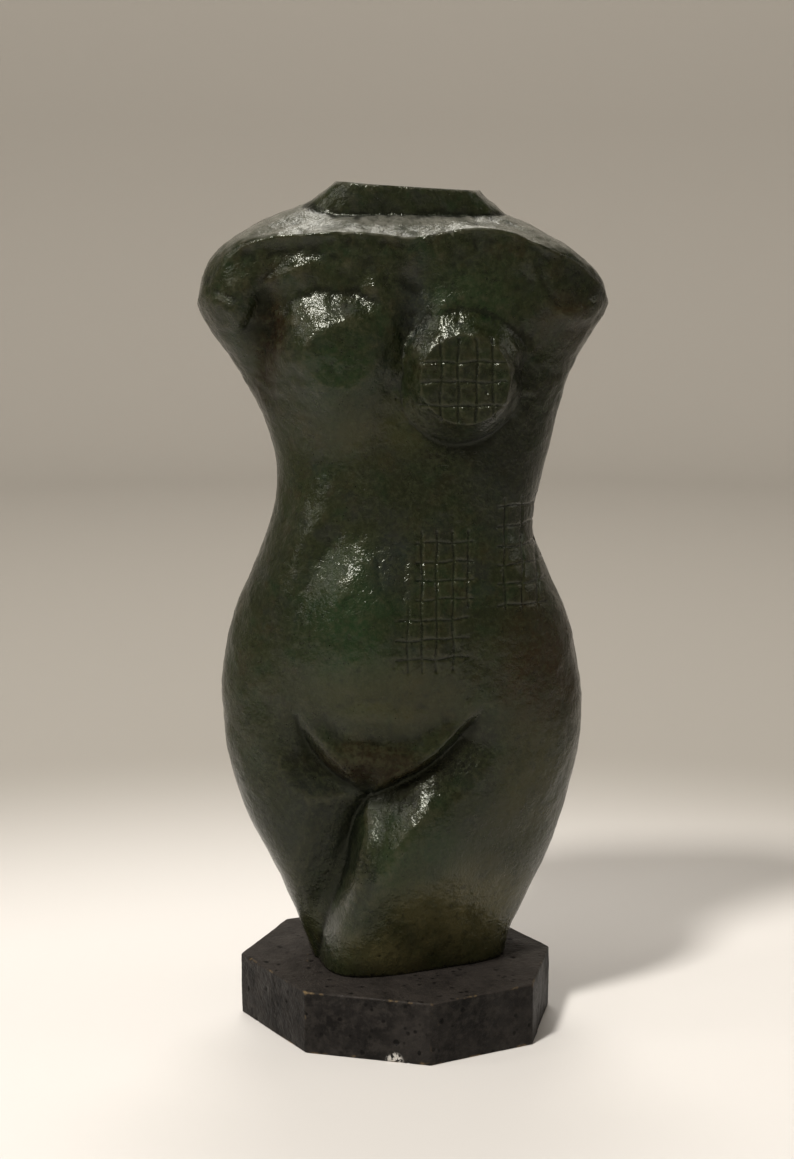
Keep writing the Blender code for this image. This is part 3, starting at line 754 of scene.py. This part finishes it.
# The colours of the large patches, painted shade and painted light among them, in the order in which they
# cover each other
TINT_COLOURS = {
    # Partly painted shade, on the far leg and the right flank, and elsewhere a darker patina
    "deep": (0.0045, 0.0054, 0.0022),
    "green": (0.0070, 0.0200, 0.0062),
    "brown": (0.0190, 0.0100, 0.0038),
    "olive": (0.0320, 0.0285, 0.0085),
    "slate": (0.0120, 0.0138, 0.0140),
    # Painted light: the pale floor's reflection on the downward-facing lower front and foot
    "pale": (0.0720, 0.0640, 0.0290),
    # Painted shade for the creases, the armpit and the shadow under the standing disc
    "painted_crease_shade": (0.0022, 0.0026, 0.0020),
    "rust": (0.0080, 0.0036, 0.0017),
}
# Painted sheen: a pale grey laid on the upward-facing tops of the shoulders for the light they reflect from
# above
PAINTED_TOP_SHEEN_COLOUR = (0.170, 0.165, 0.140)
PATINA_GRAIN_LIGHT = (0.0280, 0.0325, 0.0158)
PATINA_GRAIN_DARK = (0.0032, 0.0042, 0.0022)
PATINA_HOLLOW = (0.0020, 0.0026, 0.0016)
# Painted shade for where the forms shut the light out
PAINTED_HOLLOW_SHADE = (0.0020, 0.0026, 0.0018)
PATINA_RUBBED = (0.038, 0.036, 0.020)
PATINA_SPECK = (0.002, 0.0025, 0.002)


def green_patina():
    """Dark green patina over bronze: cloudy, browner in places, worn on crests and waxed to a half gloss."""
    m = Shader("green_patina")
    clouds = m.ramp(m.noise(0.045, 4, 0.6), 0.35, 0.68)
    colour = m.mix(clouds, PATINA_DARK, PATINA_LIGHT)
    # Small clouds of other colours, then the large patches of them, painted shade and light among them, each
    # broken up at its edges
    for size, spot in PATINA_SPOTS:
        scattered = m.ramp(m.noise(size, 3, 0.65), 0.50, 0.68, 0.0, 0.55)
        colour = m.mix(scattered, colour, spot)
    for name, tint in TINT_COLOURS.items():
        cover = m.ramp(m.noise(0.012, 3, 0.6), 0.25, 0.6, 0.35, 0.95)
        colour = m.mix(m.maths("MULTIPLY", m.attribute(name), cover), colour, tint)
    # Painted sheen on the upward-facing tops of the shoulders, broken up by noise
    top_sheen_breakup = m.ramp(m.noise(0.010, 3, 0.6), 0.3, 0.65, 0.4, 0.9)
    colour = m.mix(m.maths("MULTIPLY", m.attribute("painted_top_sheen"), top_sheen_breakup), colour, PAINTED_TOP_SHEEN_COLOUR)
    # Grain: light and dark specks of about a millimetre
    fine = m.ramp(m.noise(0.0022, 3, 0.7), 0.42, 0.68)
    colour = m.mix(m.maths("MULTIPLY", fine, 0.42), colour, PATINA_GRAIN_LIGHT)
    coarse = m.ramp(m.noise(0.0040, 2, 0.7), 0.44, 0.30)
    colour = m.mix(m.maths("MULTIPLY", coarse, 0.45), colour, PATINA_GRAIN_DARK)
    # Dark in pits and scored lines, painted shade where the forms shut the light out, and paler on crests
    hollow = m.ramp(m.attribute("hollow"), 0.02, 0.22)
    crest = m.ramp(m.attribute("hollow"), -0.03, -0.20)
    colour = m.mix(m.maths("MULTIPLY", hollow, 0.6), colour, PATINA_HOLLOW)
    painted_hollow_shade = m.ramp(m.attribute("broad_hollow"), 0.25, 1.2, 0.0, 0.5)
    colour = m.mix(painted_hollow_shade, colour, PAINTED_HOLLOW_SHADE)
    rubbed = m.maths("MULTIPLY", crest, m.ramp(m.noise(0.004, 2, 0.7), 0.3, 0.7))
    colour = m.mix(m.maths("MULTIPLY", rubbed, 0.5), colour, PATINA_RUBBED)
    specks = m.ramp(m.cells(0.0022), 0.16, 0.06)
    sparse = m.maths("MULTIPLY", specks, m.ramp(m.noise(0.009, 2, 0.5), 0.56, 0.66))
    colour = m.mix(m.maths("MULTIPLY", sparse, 0.8), colour, PATINA_SPECK)
    m.put(colour, m.surface.inputs["Base Color"])
    dull = m.ramp(m.noise(0.018, 3, 0.6), 0.3, 0.7, 0.23, 0.33)
    m.put(m.maths("SUBTRACT", dull, m.maths("MULTIPLY", rubbed, 0.08)), m.surface.inputs["Roughness"])
    # The folds, where the rust, the deep patches and the painted shade lie, are duller, having kept no wax
    waxless = m.maths("ADD", m.attribute("rust"), m.maths("MULTIPLY", m.attribute("deep"), 0.6))
    waxless = m.maths("ADD", waxless, painted_hollow_shade)
    m.put(m.ramp(waxless, 0.1, 1.1, 0.34, 0.04), m.surface.inputs["Coat Weight"])
    m.surface.inputs["Specular IOR Level"].default_value = 0.12
    m.surface.inputs["Specular Tint"].default_value = (0.88, 0.95, 0.60, 1)
    m.surface.inputs["Coat Roughness"].default_value = 0.15
    m.bump((
        (m.noise(0.0034, 3, 0.6), 0.0004),
        (m.noise(0.0012, 2, 0.6), 0.0002),
        (m.maths("SUBTRACT", 1.0, sparse), 0.0004),
    ))
    return m.material


# The base's colours, and the pale scrape at the foot of its front side
BRONZE_DARK = (0.0050, 0.0044, 0.0040)
BRONZE_BLOOM = (0.0200, 0.0176, 0.0158)
BRONZE_MOTTLE = (0.0320, 0.0280, 0.0245)
BRONZE_DUST = (0.0330, 0.0280, 0.0245)
BRONZE_PIT = (0.0020, 0.0017, 0.0014)
BARE_METAL = (0.22, 0.155, 0.080)
SCRAPE_MIDDLE = (-0.004, -0.0705, 0.0005)
SCRAPE_REACH = 0.0052
SCRAPE_CORE = 0.0030
SCRAPE_COLOUR = (0.50, 0.48, 0.45)


def dark_bronze():
    """Brown-black patina with a grey bloom that is heaviest on top, rubbed to yellow metal on some edges."""
    m = Shader("dark_bronze")
    bloom = m.ramp(m.noise(0.022, 4, 0.65), 0.32, 0.72)
    colour = m.mix(bloom, BRONZE_DARK, BRONZE_BLOOM)
    mottled = m.ramp(m.noise(0.0045, 3, 0.65), 0.42, 0.68)
    colour = m.mix(m.maths("MULTIPLY", mottled, 0.6), colour, BRONZE_MOTTLE)
    parts = m.tree.nodes.new("ShaderNodeSeparateXYZ")
    m.put(m.place, parts.inputs[0])
    on_top = m.ramp(parts.outputs["Z"], BASE_HEIGHT - 0.0012, BASE_HEIGHT - 0.0003)
    dusty = m.maths("MULTIPLY", on_top, m.ramp(m.noise(0.014, 4, 0.65), 0.3, 0.7, 0.35, 1.0))
    colour = m.mix(dusty, colour, BRONZE_DUST)
    hollow = m.ramp(m.attribute("hollow"), 0.02, 0.16)
    colour = m.mix(m.maths("MULTIPLY", hollow, 0.8), colour, BRONZE_PIT)
    gathered = m.ramp(m.noise(0.016, 3, 0.6), 0.46, 0.60)
    stained = m.maths("MULTIPLY", m.ramp(m.cells(0.0040), 0.34, 0.16), gathered)
    colour = m.mix(m.maths("MULTIPLY", stained, 0.85), colour, BRONZE_PIT)
    flaked = m.ramp(m.noise(0.0016, 2, 0.6), 0.44, 0.52)
    scraped = m.maths("MULTIPLY", m.ramp(m.distance(SCRAPE_MIDDLE), SCRAPE_REACH, SCRAPE_CORE), flaked)
    colour = m.mix(scraped, colour, SCRAPE_COLOUR)
    edge = m.ramp(m.attribute("hollow"), -0.06, -0.22)
    broken = m.ramp(m.noise(0.010, 3, 0.7), 0.54, 0.66)
    rubbed = m.maths("MULTIPLY", edge, broken)
    colour = m.mix(rubbed, colour, BARE_METAL)
    m.put(colour, m.surface.inputs["Base Color"])
    m.put(m.maths("MULTIPLY", rubbed, 0.8), m.surface.inputs["Metallic"])
    m.put(m.ramp(m.noise(0.012, 3, 0.6), 0.3, 0.7, 0.42, 0.62), m.surface.inputs["Roughness"])
    m.surface.inputs["Specular IOR Level"].default_value = 0.10
    m.bump(((m.noise(0.0030, 3, 0.6), 0.0008), (m.noise(0.0009, 2, 0.6), 0.0003)))
    return m.material


def studio_sheet():
    """Plain matt sheet with a painted pool of light: pale round the object and darker further away."""
    m = Shader("studio_sheet")
    painted_falloff = m.ramp(m.distance(PAINTED_POOL_MIDDLE), PAINTED_POOL_REACH, PAINTED_FALLOFF_REACH)
    m.put(m.mix(painted_falloff, PAINTED_POOL_COLOUR, PAINTED_DIM_COLOUR), m.surface.inputs["Base Color"])
    m.surface.inputs["Roughness"].default_value = 0.85
    return m.material


# The base

BASE_COLUMNS_PER_METRE = 900
BASE_ROUNDING = 0.0009
BASE_TRIANGLES = 90000
# Its slight unevenness, each layer as (how far proud, size, seed)
BASE_MARKS = ((0.00022, 0.021, 21), (0.00016, 0.007, 22))


def base_outline():
    """Points round the base's outline with slightly rounded corners, about a millimetre apart."""
    corners = []
    for turn, reach in BASE_CORNERS:
        angle = math.radians(turn)
        corners.append(BASE_RADIUS * reach * np.array([math.sin(angle), -math.cos(angle)]))
    points = []
    for k, corner in enumerate(corners):
        before, after = corners[k - 1], corners[(k + 1) % len(corners)]
        towards = (after - corner) / np.linalg.norm(after - corner)
        back = (before - corner) / np.linalg.norm(before - corner)
        for t in np.linspace(0, 1, 6):
            points.append(corner + BASE_ROUNDING * (back * (1 - t) ** 2 + towards * t**2))
        start, end = corner + towards * BASE_ROUNDING, after - towards * BASE_ROUNDING
        steps = max(2, round(np.linalg.norm(end - start) * BASE_COLUMNS_PER_METRE))
        points.extend(start + (end - start) * t for t in np.linspace(0, 1, steps, endpoint=False)[1:])
    return np.array(points)


def base_grid():
    """Rings from the middle of the underside, out, up the sides and in over the top."""
    outline = base_outline()
    rings = []
    for share in (0.02, 0.3, 0.6, 0.85):
        rings.append((share, 0, 0))
    for t in np.linspace(0, 1, 5):
        turn = t * math.pi / 2
        rings.append((1, BASE_ROUNDING * (1 - math.sin(turn)), BASE_ROUNDING * (1 - math.cos(turn))))
    sides = round(BASE_HEIGHT * BASE_COLUMNS_PER_METRE)
    for z in np.linspace(BASE_ROUNDING, BASE_HEIGHT - BASE_ROUNDING, sides)[1:-1]:
        rings.append((1, 0, z))
    for t in np.linspace(0, 1, 5):
        turn = t * math.pi / 2
        inset, drop = BASE_ROUNDING * (1 - math.cos(turn)), BASE_ROUNDING * (1 - math.sin(turn))
        rings.append((1, inset, BASE_HEIGHT - drop))
    for share in np.linspace(1, 0.02, round(BASE_RADIUS * BASE_COLUMNS_PER_METRE))[1:]:
        rings.append((share, BASE_ROUNDING, BASE_HEIGHT))
    reach = np.linalg.norm(outline, axis=1, keepdims=True)
    grid = []
    for share, inset, z in rings:
        ring = outline * (1 - inset / reach) * share
        grid.append(np.column_stack([ring, np.full(len(ring), z)]))
    return np.array(grid)


def add_base(tree, finish):
    grid = base_grid()
    square = outward(grid)
    soft = marks(grid, BASE_MARKS)
    standing = smoothstep(0.0, 0.001, grid[:, :, 2])
    grid = grid + square * (soft * standing)[:, :, None]
    piece = lofted("base_cast", grid)
    wear_skin(piece, tree, {
        "Grain Size": 0.0025, "Grain Height": 0.00030, "Pit Spacing": 0.0052, "Pit Radius": 0.0013,
        "Pit Depth": 0.0009, "Pit Share": 0.24, "Seed": 4.7,
    }, finish, BASE_TRIANGLES)
    mark_hollows(piece.data, (("hollow", 6),))
    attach(piece, BODY)
    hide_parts("base")


def add_torso(tree, finish):
    grid = torso_grid() * UNIT
    grid[:, :, 2] += TORSO_LOW.z
    piece = lofted("torso_cast", grid)
    wear_skin(piece, tree, {
        "Grain Size": 0.0026, "Grain Height": 0.00040, "Pit Spacing": 0.0080, "Pit Radius": 0.0009,
        "Pit Depth": 0.0005, "Pit Share": 0.16, "Seed": 1.3,
    }, finish, TORSO_TRIANGLES)
    mark_hollows(piece.data, (("hollow", 5), ("broad_hollow", 40)))
    mark_tints(piece.data)
    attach(piece, BODY)
    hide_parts("torso")


# The studio

ROOM_RADIUS = 2.6
ROOM_HEIGHT = 3.0
ROOM_BEND = 0.5
# The sheet's painted pool of light: pale round this middle, darker beyond
PAINTED_POOL_MIDDLE = (0, -0.3, 0)
PAINTED_POOL_REACH = 0.42
PAINTED_FALLOFF_REACH = 0.85
PAINTED_POOL_COLOUR = (0.74, 0.71, 0.68)
PAINTED_DIM_COLOUR = (0.34, 0.315, 0.28)


def add_room():
    """A round floor that curves up into a plain wall, all in one sheet."""
    profile = [(0.02, 0), (0.3, 0), (0.8, 0), (ROOM_RADIUS - ROOM_BEND, 0)]
    for t in np.linspace(0, math.pi / 2, 10)[1:]:
        out, up = ROOM_BEND * math.sin(t), ROOM_BEND * (1 - math.cos(t))
        profile.append((ROOM_RADIUS - ROOM_BEND + out, up))
    profile.append((ROOM_RADIUS, ROOM_HEIGHT))
    turns = np.linspace(0, 2 * math.pi, 96, endpoint=False)
    grid = np.array([[(r * math.cos(a), r * math.sin(a), z) for a in turns] for r, z in profile])
    count = len(turns)
    faces = [list(range(count))]
    for low in range(0, (len(profile) - 1) * count, count):
        for k in range(count):
            after = (k + 1) % count
            faces.append([low + k, low + count + k, low + count + after, low + after])
    mesh = bpy.data.meshes.new("room")
    mesh.from_pydata(grid.reshape(-1, 3).tolist(), [], faces)
    mesh.shade_smooth()
    mesh.materials.append(studio_sheet())
    room = bpy.data.objects.new("room", mesh)
    bpy.context.scene.collection.objects.link(room)


def add_light(name, place, size, power, aim=(0, 0, 0.2), colour=(1, 0.97, 0.92)):
    light = bpy.data.lights.new(name, "AREA")
    light.shape = "DISK"
    light.size = size
    light.energy = power
    light.color = colour
    lamp = bpy.data.objects.new(name, light)
    lamp.location = place
    lamp.rotation_euler = (Vector(aim) - Vector(place)).to_track_quat("-Z", "Y").to_euler()
    bpy.context.scene.collection.objects.link(lamp)


def add_lights():
    add_light("key", (-1.12, -1.68, 2.84), 0.48, 107)
    add_light("overhead", (0.0, -0.15, 2.0), 0.9, 2.5, aim=(0, -0.15, 0))
    add_light("behind", (0.0, 1.1, 1.9), 0.9, 8, aim=(0, 0.2, 0.2))
    add_light("left", (-1.6, -0.26, 1.5), 0.45, 3.8)
    add_light("left window", (-1.5, -1.0, 1.0), 0.35, 2.5)
    add_light("right", (1.9, 0.0, 1.1), 0.9, 2.6)
    add_light("wall wash", (0, 0.9, 2.4), 0.8, 26, aim=(0, 2.6, 0.6))
    world = bpy.data.worlds.new("room air")
    world.use_nodes = True
    world.node_tree.nodes["Background"].inputs["Color"].default_value = (1.0, 0.97, 0.93, 1)
    world.node_tree.nodes["Background"].inputs["Strength"].default_value = 0.02
    bpy.context.scene.world = world
    bpy.context.scene.view_settings.view_transform = "Standard"


# The camera stands about a metre away at neck height and looks a little down
CAMERA_PLACE = (-0.0033, -1.0852, 0.3985)
CAMERA_DOWN = 9.61
CAMERA_LENS = 71.44


def add_camera():
    camera = bpy.data.cameras.new("camera")
    camera.lens = CAMERA_LENS
    camera.sensor_width = 36
    holder = bpy.data.objects.new("camera", camera)
    holder.location = CAMERA_PLACE
    holder.rotation_euler = (math.radians(90 - CAMERA_DOWN), 0, 0)
    bpy.context.scene.collection.objects.link(holder)
    bpy.context.scene.camera = holder


def main():
    skin = cast_skin_tree()
    add_base(skin, dark_bronze())
    add_torso(skin, green_patina())
    add_room()
    add_lights()
    add_camera()


main()
